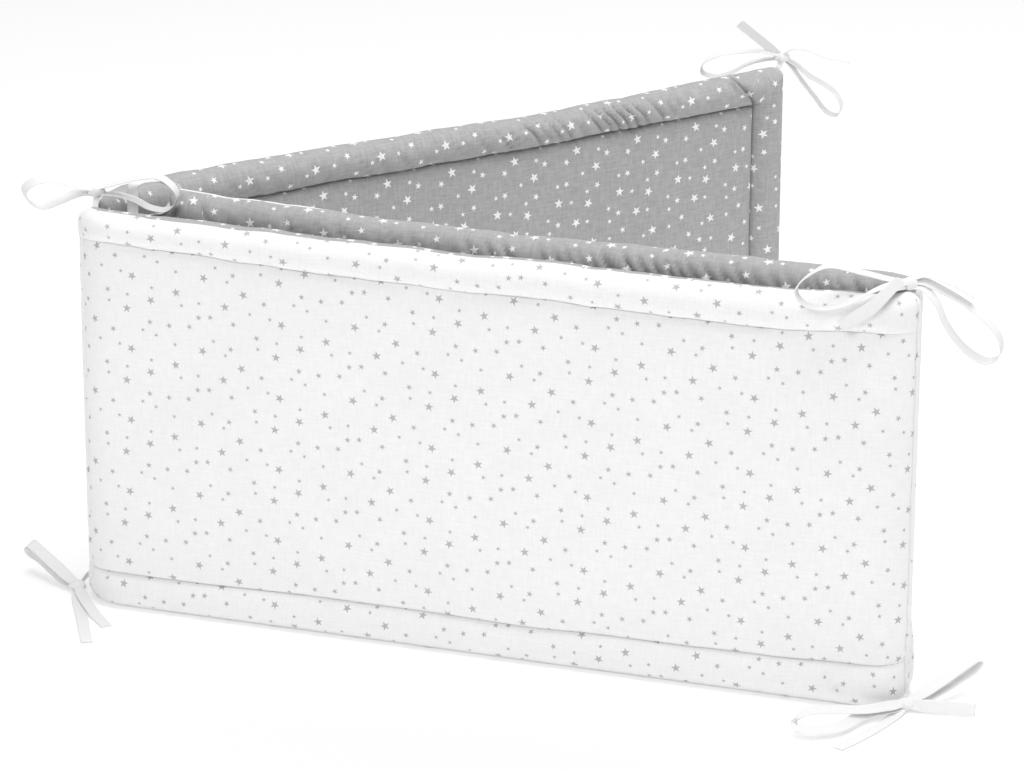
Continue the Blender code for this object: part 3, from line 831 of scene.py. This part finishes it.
def side_points(along, side):
    """A side's points row by row, how much painted shade each gets in creases, and their places on the
    cloth.
    """
    z, over = row_heights(along[None, :], side)
    across = along[None, :] + 0 * z
    points = surface(across, z, side, over)
    middle = LOW_ROWS + len(FIELD_ROWS) // 2
    rise = distances(points)
    place = distances(points[middle])
    place += walk.length / 2 - np.interp(walk.length / 2, along, place)
    on_cloth = np.stack([place[None, :] + 0 * rise, rise - rise[middle] + PAD_HEIGHT / 2], axis=-1)
    return points, painted_crease_shade(across, z, side), on_cloth


def build_pad():
    """One closed pad: the outer cloth's rows from the bottom edge up, then the inner cloth's down again."""
    along = columns()
    outer, outer_painted_shade, outer_uv = side_points(along, "outer")
    inner, inner_painted_shade, inner_uv = side_points(along, "inner")
    points, uv = np.concatenate([outer, inner[::-1]]), np.concatenate([outer_uv, inner_uv[::-1]])
    rows, count = points.shape[:2]
    seam_row = len(outer)
    faces = grid_faces(rows, count)
    row_of_face = np.repeat(np.arange(rows - 1), count - 1)
    over_seam = row_of_face == seam_row - 1
    faces, slots = faces[~over_seam], (row_of_face >= seam_row)[~over_seam]
    first_row = np.arange(count - 1)
    last_row = (rows - 1) * count + first_row
    foot = np.stack([first_row, last_row, last_row + 1, first_row + 1], axis=-1)
    low = np.arange(seam_row - 1)
    left = np.stack([low, low + 1, rows - 2 - low, rows - 1 - low], axis=-1) * count
    closing = np.concatenate([foot, left[:, ::-1], left + count - 1])
    faces = np.concatenate([faces, closing])
    slots = np.concatenate([slots, np.zeros(len(closing), int)])
    corner_uv = uv.reshape(-1, 2)[faces]
    # The two cloths share one row of points where they meet.
    faces = np.where(faces >= seam_row * count, faces - count, faces)
    points = np.concatenate([points[:seam_row], points[seam_row + 1:]]).reshape(-1, 3)
    shift = Vector(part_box("pad")[0]) - Vector(points.min(0))
    shift.z = 0
    cloths = [outer_cloth, inner_cloth]
    pad = object_from("pad_cloth", points + np.array(shift), faces, cloths, corner_uv, slots)
    # Painted shade for the cloths' material: how far each point is darkened in creases and on the folds'
    # lines of stitches.
    layer = pad.data.attributes.new("painted_crease_shade", "FLOAT", "POINT")
    depths = np.concatenate([outer_painted_shade, inner_painted_shade[-2::-1]])
    layer.data.foreach_set("value", depths.ravel().astype(np.float32))
    return pad, shift


pad, fold_to_cad = build_pad()
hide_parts("pad")
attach(pad, "root")
add_camera(fold_to_cad)

# The ties

TAPE_WIDTH = 0.0085
ROOT_WIDTH = 0.0042  # where a tape is sewn in
GATHERED_WIDTH = 0.0055  # at its knot
GATHER_REACH = 0.013  # how far from the knot it is at its full width again
TAPE_THICKNESS = 0.0010
TAPE_ROUND = 14  # points round its section
KNOT_CURL, LYING_CURL = 0.0012, 0.0006  # how far its edges curl up at the knot, in the air and on the floor
CURL_WAVER = 0.0002
BOW_KNOT = (0.0062, 0.0042, 0.0044)  # half sizes
PLAIN_KNOT = (0.0027, 0.0027, 0.0027)
KNOT_ROWS, KNOT_ROUND = 18, 28
KNOT_CREASES = ((0.10, 1.05, 0.13), (0.12, 2.05, 0.14))  # depth, angle from its left end, half width
LEG_STATIONS = 8  # points of a route for each of its given ones
TIE_TURN = 19.0  # degrees that the ties' own frame is turned about +Z

# The ties: the knot's place in metres and half sizes, and for each strand its kind, its width axis and its
# route from the knot in millimetres, both to the right, to the back and up in the frame turned by TIE_TURN.
# A strand with no width axis lies flat. They are as in the CAD model, apart from the first tail of the inner
# top tie and the root of the right bottom one.
TIES = {
    "tie_left_top": ((-0.2875, 0.0276, 0.2915), BOW_KNOT,
        ("root", (1, 0, 0), (0, 0, -2), (-0.5, -3, -6.5), (-1, -5, -10.8)),
        ("loop", (-0.5, 0.8, 0.3), (-2, 0, 2), (-16, -2, 5), (-29, -3, 9), (-41, -2, 8), (-50, 1, 1),
         (-48, 4, -8), (-38, 5, -12), (-25, 4, -7), (-13, 2, -2), (-2, 0, -1.5)),
        ("loop", (0.25, 0.92, 0.12), (2, 0, 2), (16, -2, 7), (30, -4, 11), (43, -5, 12), (53, -5, 5),
         (56, -4, -4), (49, -3, -12), (37, -2, -11), (26, -2, -5), (13, -1, -1.5), (2, 0, -1.5)),
    ),
    "tie_right_top": ((0.2900, 0.0170, 0.2897), BOW_KNOT,
        ("root", (1, 0, 0), (0, 0, -1), (2, 3.5, -4.3), (4.5, 6, -6.8)),
        ("loop", (0.3, 0.93, 0.02), (-2, 0, 2), (-14, -2, 4), (-30, -5, 9), (-52, -12, 15.5),
         (-67, -18, 10.5), (-74, -20, 2), (-69, -21, -6.5), (-56, -21, -10), (-41, -23, -6.5), (-25, -20, 1),
         (-11, -9, 2.4), (-2, -1, 1)),
        ("tail", (-0.35, 0.1, 0.93), (-2, -2, 0), (-10, -15, 4), (-19, -26, -1), (-27, -28, -8),
         (-36, -26, -14.5), (-45, -23, -21.5)),
        ("loop", (0.38, 0.88, 0.25), (2, 0, 1), (11, 3, 0), (24, 6, -7), (43, 6, -19), (57, 6, -32),
         (62, 6, -43), (60, 6, -52), (51, 6, -54), (38, 3, -45), (26, 0, -29), (18, -1, -12), (9, -1, -2.2),
         (2, 0, -1.6)),
        ("tail", (-0.2, 0.95, 0.1), (2, 1, 2.5), (9, 5, 4), (18, 7, 2), (31, 8, -4), (43, 8, -12)),
    ),
    "tie_rear_top": ((0.0588, 0.5373, 0.2930), BOW_KNOT,
        ("root", (1, 0, 0), (0, 0, -2), (-1.3, -2, -5), (-2.6, -4.0, -7.8)),
        ("tail", (-0.6, 0.35, -0.55), (-2, 0, 2), (-12, -1, 10), (-23, -2, 19), (-33, -2, 27)),
        ("tail", (0.1, 1.00, -0.22), (2, 0, 2.5), (9, -2, 6.5), (20, -2, 5.5), (34, -2, 0),
         (53, -2, -4)),
        ("loop", (0.3, 0.93, 0.1), (2, 0, -2), (9, 1, -9), (17, 2, -20), (27, 2, -33), (36, 2, -44),
         (45, 1, -46), (47, 0, -37), (42, -1, -28), (33, -1, -21), (22, 0, -15), (11, 1, -6), (2, 0, 0)),
        ("loop", (0.2, 0.95, 0.15), (-2, 0, 2), (-15, 0, 5), (-36, 0, 4), (-50, 0, 1), (-60, 1, -5),
         (-61, 3, -13), (-50, 5, -17), (-38, 7, -14), (-27, 7, -8), (-14, 3, -3), (-2, 0, -1.5)),
    ),
    "tie_right_bottom": ((0.3020, -0.0030, 0.0048), BOW_KNOT,
        ("root", None, (2, 2, -2), (7, 9, -3.7), (9, 16, -3.9), (8, 22.5, -3.6), (4, 27, -2.0)),
        ("loop", (0.2, 0.93, 0.25), (-2, -1, 1.5), (-14, -11, 3.5), (-30, -20, 5), (-54, -27, 8),
         (-67, -31, 8), (-74, -36, 4), (-73, -42, 1.5), (-63, -45, 0.5), (-47, -40, 0.6), (-34, -25, 0.9),
         (-23, -14, 0.9), (-11, -8, 0.3), (-2, -1, -1)),
        ("tail", None, (-2, -3, -2), (-11, -16, -3.6), (-24, -34, -3.9), (-37, -50, -3.9),
         (-49, -63, -3.9)),
        ("tail", (0, 0.45, 0.9), (2, -1, 0.4), (15, -3, 0.4), (30, -6, 0.4), (46, -9, 0.4)),
        ("loop", (-0.55, 0.7, 0.45), (2, 1, 2), (14, 6, 7), (28, 15, 13), (40, 24, 18), (49, 31, 21),
         (52, 34, 18), (48, 31, 13), (40, 25, 10), (28, 16, 6), (14, 7, 2), (2, 1, -0.5)),
    ),
    "tie_left_bottom": ((-0.3025, 0.0075, 0.0048), BOW_KNOT,
        ("root", (0, 0, 1), (2, 2, 0), (3, 6, 1), (6, 12, 3.5), (10, 12.5, 5), (15.9, 10.4, 5.7)),
        ("loop", (0.6, 0.65, 0.46), (-2, 1, 2), (-12, 11, 7), (-23, 23, 12), (-32, 33, 16),
         (-37, 40, 16.5), (-39, 43, 13), (-36, 40, 9.5), (-29, 33, 8), (-21, 23, 5), (-12, 12, 1.5),
         (-2, 1, -0.5)),
        ("tail", None, (0, -3, -2), (3, -24, -3.9), (8, -50, -3.9), (12, -74, -3.9), (16, -95, -3.9)),
        ("tail", None, (1, -3, 0), (7, -20, -2), (15, -42, -2.4), (22, -56, -3.6), (27, -66, -3.9)),
    ),
    "tie_inner_top": ((-0.2511, 0.0632, 0.2720), PLAIN_KNOT,
        ("tail", (0.92, -0.38, 0.0), (1, 0, 1), (6, 1, 6), (8, 1, 12), (5, 1, 17), (-4, 0, 20.5),
         (-14, -3, 21.5), (-20.5, -6, 20.5), (-22.5, -8, 16), (-22.5, -11, 6), (-22.5, -13, -1)),
        ("tail", (0.8, -0.5, 0.3), (0, -2, -1), (-5, -8, -1), (-13, -12, -1), (-20, -14, -6),
         (-22, -14, -15), (-22, -14, -23)),
    ),
    "tie_rear_bottom": ((0.0602, 0.5363, 0.0105), PLAIN_KNOT,
        ("tail", None, (1, 1, -1), (7, 5, -7), (15, 9, -9.5), (27, 12, -9.5), (41, 14, -9.5)),
        ("tail", None, (1, 2, 0), (4, 9, -6), (6, 18, -9.4), (5, 33, -9.5), (2, 48, -9.5)),
    ),
    "tie_inner_bottom": ((-0.2510, 0.0632, 0.0105), PLAIN_KNOT,
        ("tail", None, (0, -1, -1), (-6, -14, -8.5), (0, -31, -9.6), (19, -39, -9.6), (38, -46, -9.6)),
        ("tail", None, (-1, -1, 0), (-10, -11, -6), (-18, -19, -9.3), (-25, -31, -9.6)),
    ),
}


def smooth_route(points):
    """Points along a smooth curve through the given ones."""
    ends = np.concatenate([[points[0] * 2 - points[1]], points, [points[-1] * 2 - points[-2]]])
    route = []
    t = (np.arange(LEG_STATIONS) / LEG_STATIONS)[:, None]
    for before, start, end, after in zip(ends, ends[1:], ends[2:], ends[3:]):
        route.append(0.5 * (
            2 * start + (end - before) * t + (2 * before - 5 * start + 4 * end - after) * t**2
            + (3 * start - before - 3 * end + after) * t**3
        ))
    return np.concatenate([*route, [points[-1]]])


def tape_sections(width, curl):
    """A tape's flat section at each station, across and through it."""
    turn = np.linspace(0, 2 * pi, TAPE_ROUND, endpoint=False)
    across = np.sign(np.cos(turn)) * np.abs(np.cos(turn)) ** 0.45 * width[:, None] / 2
    through = np.sign(np.sin(turn)) * np.abs(np.sin(turn)) ** 0.55 * TAPE_THICKNESS / 2
    edge = np.abs(across) / (width[:, None] / 2)
    return across, through * (0.72 + 0.28 * edge**4) + curl[:, None] * (edge**2 - 0.4)


def strand(kind, axis, route, origin, turn, seed):
    """A strand's points, faces, places on the cloth and length."""
    points = smooth_route(np.array(route) / 1000 @ turn.T + origin)
    tangents = unit(np.gradient(points, axis=0))
    place = distances(points)
    wide = np.cross(tangents, (0, 0, 1)) if axis is None else turn @ np.array(axis, float)
    wide = unit(wide - tangents * (wide * tangents).sum(1)[:, None])
    spread = np.minimum(np.linalg.norm(points - origin, axis=1) / GATHER_REACH, 1.0)
    width = GATHERED_WIDTH + (TAPE_WIDTH - GATHERED_WIDTH) * spread
    phase = np.random.default_rng(seed).uniform(0, 6)
    curl = (1 - spread) * KNOT_CURL + CURL_WAVER * np.sin(place * 120 + phase)
    if axis is None:
        curl = (1 - spread) * LYING_CURL
    if kind == "root":
        width, curl = width * 0 + ROOT_WIDTH, curl * 0
    across, through = tape_sections(width, curl)
    out = np.cross(tangents, wide)
    rings = points[:, None] + wide[:, None] * across[..., None] + out[:, None] * through[..., None]
    uv_around = np.linspace(0, 2 * TAPE_WIDTH, TAPE_ROUND, endpoint=False)
    uv = np.stack(np.meshgrid(place, uv_around, indexing="ij"), axis=-1).reshape(-1, 2)
    return rings.reshape(-1, 3), tube_faces(len(points), TAPE_ROUND), uv, place[-1]


def knot_points(half_sizes, origin, turn, seed):
    """A knot: a round lump of tape, with the creases between its turns."""
    down = np.linspace(0.02, 0.98, KNOT_ROWS) * pi
    v, u = np.meshgrid(down, np.arange(KNOT_ROUND) / KNOT_ROUND * 2 * pi, indexing="ij")
    size = 1 - sum(depth * bell(v - angle, half_width) for depth, angle, half_width in KNOT_CREASES)
    size = size + 0.05 * np.sin(3 * u + seed) * np.sin(v)
    ball = np.stack([np.cos(v), np.sin(v) * np.cos(u), np.sin(v) * np.sin(u)], axis=-1) * size[..., None]
    points = (ball * np.array(half_sizes)).reshape(-1, 3) @ turn.T + origin
    uv = np.stack([v.ravel() * half_sizes[0], u.ravel() * half_sizes[1]], axis=-1)
    return points, tube_faces(KNOT_ROWS, KNOT_ROUND, inside_out=True), uv


def build_tie(node, knot, half_sizes, strands, seed):
    """A tie's knot and strands of tape, in one mesh."""
    angle = radians(TIE_TURN)
    turn = np.array([
        [cos(angle), -sin(angle), 0], [sin(angle), cos(angle), 0], [0, 0, 1],
    ])
    origin = np.array(knot) + np.array(fold_to_cad)
    parts = [knot_points(half_sizes, origin, turn, seed)]
    for i, (kind, axis, *route) in enumerate(strands):
        *part, length = strand(kind, axis, route, origin, turn, seed * 10 + i)
        parts.append(part)
    points, faces, uvs = zip(*parts)
    firsts = np.cumsum([0, *map(len, points[:-1])])
    faces = np.concatenate([some + first for some, first in zip(faces, firsts)])
    uvs = np.concatenate(uvs)
    made = object_from(node.replace("tie", "tape"), np.concatenate(points), faces, [tape], uvs[faces])
    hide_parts(node)
    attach(made, "root")


for number, (node, (knot, half_sizes, *strands)) in enumerate(TIES.items()):
    build_tie(node, knot, half_sizes, strands, number + 1)

# Stitches

STITCH_PITCH = 0.0032
STITCH_LENGTH = 0.0025
STITCH_RADIUS = 0.00022
STITCH_LIFT = STITCH_RADIUS * 0.4  # of its middle line off the cloth
STITCH_RINGS = ((0.0, 0.35), (0.25, 1.0), (0.75, 1.0), (1.0, 0.35))  # place along it, share of its radius
STITCH_ROUND = 4  # points round a stitch


def stitch_points(side, offset):
    """Points at an offset from the stitches' starts, along the channels, the ends and the folds."""
    along = np.arange(CHANNEL, walk.length - CHANNEL, STITCH_PITCH) + offset
    made = [surface(along, edge_heights(along)[line], side, lift=STITCH_LIFT) for line in (1, 2)]
    for at in (CHANNEL, *walk.fold_lines(), walk.length - CHANNEL):
        _, low_stitch, high_stitch, _ = edge_heights(np.array([at]))
        up = np.arange(low_stitch[0], high_stitch[0], STITCH_PITCH) + offset
        made.append(surface(np.full(len(up), at), up, side, lift=STITCH_LIFT))
    return np.concatenate(made)


def build_stitches():
    """Short threads along the stitch lines of both cloths, in one mesh."""
    sides = [[stitch_points(side, at) for side in ("outer", "inner")] for at in (0.0, STITCH_LENGTH)]
    counts = [len(starts) for starts in sides[0]]
    starts, ends = (np.concatenate(some) for some in sides)
    run = unit(ends - starts)
    side_way = unit(np.cross(run, (0.31, 0.53, 0.79)))  # any way but the stitches' own
    up_way = np.cross(run, side_way)
    rings = []
    for share, size in STITCH_RINGS:
        centre = starts + (ends - starts) * share
        for turn in np.arange(STITCH_ROUND) * 2 * pi / STITCH_ROUND:
            out = side_way * cos(turn) + up_way * sin(turn)
            rings.append(centre + out * STITCH_RADIUS * size)
    points = np.stack(rings, axis=1).reshape(-1, 3)
    faces = tube_faces(len(STITCH_RINGS), STITCH_ROUND)
    every = (np.arange(len(starts))[:, None, None] * len(rings) + faces[None]).reshape(-1, 4)
    slots = np.repeat([0, 1], np.array(counts) * len(faces))
    # The threads' darker colours are partly painted shade of the stitch grooves.
    threads = [outer_thread_and_groove_shade, inner_thread_and_groove_shade]
    made = object_from("stitching", points + np.array(fold_to_cad), every, threads, points[every, :2], slots)
    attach(made, "root")


build_stitches()

# Floor and light

FLOOR_HALF = 12.0
FLOOR_GLOW = 0.19  # the floor is a lit white table
WORLD_LIGHT = 0.28

# Round lights: name, place, diameter, power in watts and the point that it faces.
LIGHTS = (
    ("front", (0.0, -3.0, 2.2), 1.2, 37.5, (0.0, 0.0, 0.1)),
    ("top", (0.4, 0.0, 3.2), 3.0, 108.0, (0.0, 0.0, 0.0)),
    ("right", (2.6, 0.6, 1.3), 1.4, 8.0, (0.0, 0.0, 0.15)),
)

# The picture's tone curve, scene light to display light: straight in the greys, rolled off in the whites.
TONE_WHITE = 1.5
TONES = ((0.0, 0.0), (0.5, 0.5), (0.75, 0.74), (0.95, 0.89), (1.08, 0.985), (1.14, 1.0), (TONE_WHITE, 1.0))


def build_floor():
    """A wide pale floor."""
    points = [(x * FLOOR_HALF, y * FLOOR_HALF, 0) for x, y in ((-1, -1), (1, -1), (1, 1), (-1, 1))]
    made, _ = plain_material("pale floor", {
        "Base Color": (0.93, 0.93, 0.93, 1), "Emission Color": (1, 1, 1, 1), "Emission Strength": FLOOR_GLOW,
        "Roughness": 0.9, "Specular IOR Level": 0.1,
    })
    floor = object_from("floor", points, [(0, 1, 2, 3)], [made], smooth=False)


def add_light(name, place, size, power, target):
    """A round area light that faces a point."""
    data = bpy.data.lights.new(name, "AREA")
    data.shape, data.size = "DISK", size
    data.energy = power
    light = linked(name, data)
    light.location = Vector(place)
    light.rotation_euler = (Vector(target) - Vector(place)).to_track_quat("-Z", "Y").to_euler()


def add_world():
    """Even white light from all round."""
    world = bpy.data.worlds.new("studio")
    world.use_nodes = True
    background = world.node_tree.nodes["Background"]
    background.inputs["Color"].default_value = (1, 1, 1, 1)
    background.inputs["Strength"].default_value = WORLD_LIGHT
    bpy.context.scene.world = world


def set_tones(view):
    """Gives the view its tone curve."""
    view.view_transform = "Standard"
    view.use_curve_mapping = True
    curves = view.curve_mapping
    curves.white_level = (TONE_WHITE,) * 3
    points = curves.curves[3].points
    while len(points) < len(TONES):
        points.new(0.5, 0.5)
    for point, (light, shown) in zip(points, TONES):
        point.location = (light / TONE_WHITE, shown)
    curves.update()


build_floor()
add_world()
for light in LIGHTS:
    add_light(*light)
set_tones(bpy.context.scene.view_settings)
